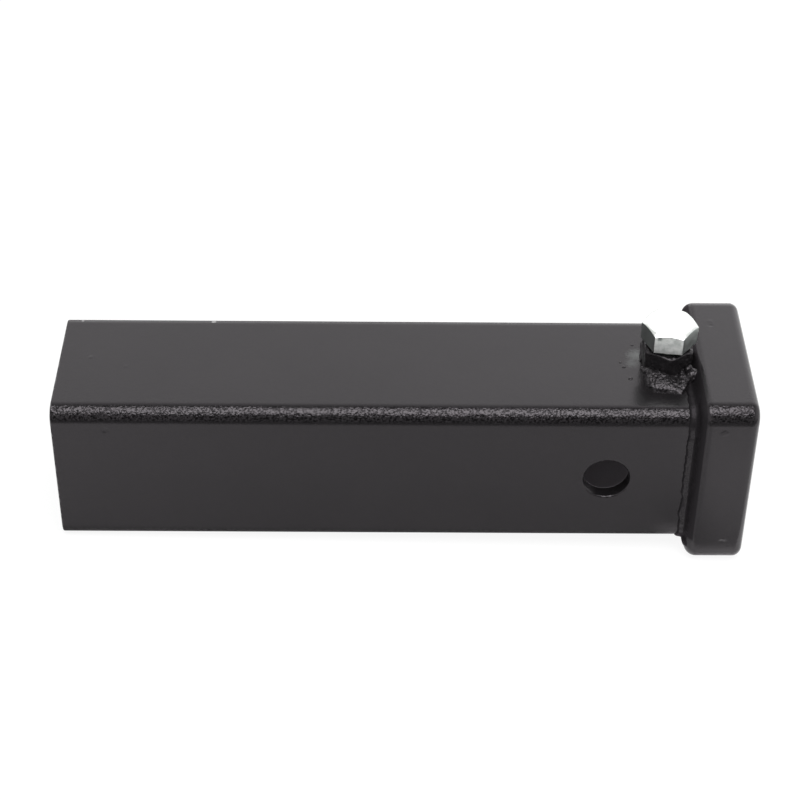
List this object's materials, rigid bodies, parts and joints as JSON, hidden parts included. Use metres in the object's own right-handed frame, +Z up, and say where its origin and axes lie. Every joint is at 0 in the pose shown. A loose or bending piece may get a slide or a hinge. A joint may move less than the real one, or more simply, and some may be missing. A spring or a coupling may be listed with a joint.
{
  "type": "receiver tube",
  "caption": "Weld-on square receiver tube with a reinforcing collar at its mouth, a hitch-pin hole through both sides and an anti-rattle bolt in a welded nut.",
  "frame": {"origin": "where the axis of the hitch-pin hole crosses the axis of the tube", "axes": "+X along the tube to its mouth, +Y across the tube along the pin hole, +Z up at the anti-rattle bolt"},
  "size_m": [0.2691, 0.076, 0.0903],
  "materials": {
    "tube_coat": "fine-textured satin black powder coat over steel",
    "collar_coat": "fine-textured satin black powder coat over a rounded steel collar",
    "weld_coat": "black powder coat over a lumpy weld bead",
    "nut_coat": "thick black powder coat over a hex nut",
    "bright_zinc": "bright zinc plate"
  },
  "bodies": {
    "receiver": {"receiver_tube": "tube_coat", "collar": "collar_coat", "back_weld": "weld_coat", "mouth_weld": "weld_coat", "weld_nut": "nut_coat", "nut_weld": "weld_coat"},
    "bolt": {"hex_bolt": "bright_zinc"}
  },
  "joints": [
    {"name": "bolt_travel", "type": "slide", "parent": "receiver", "child": "bolt", "axis": [0, 0, 1], "range_m": [-0.0011, 0.0155]}
  ]
}
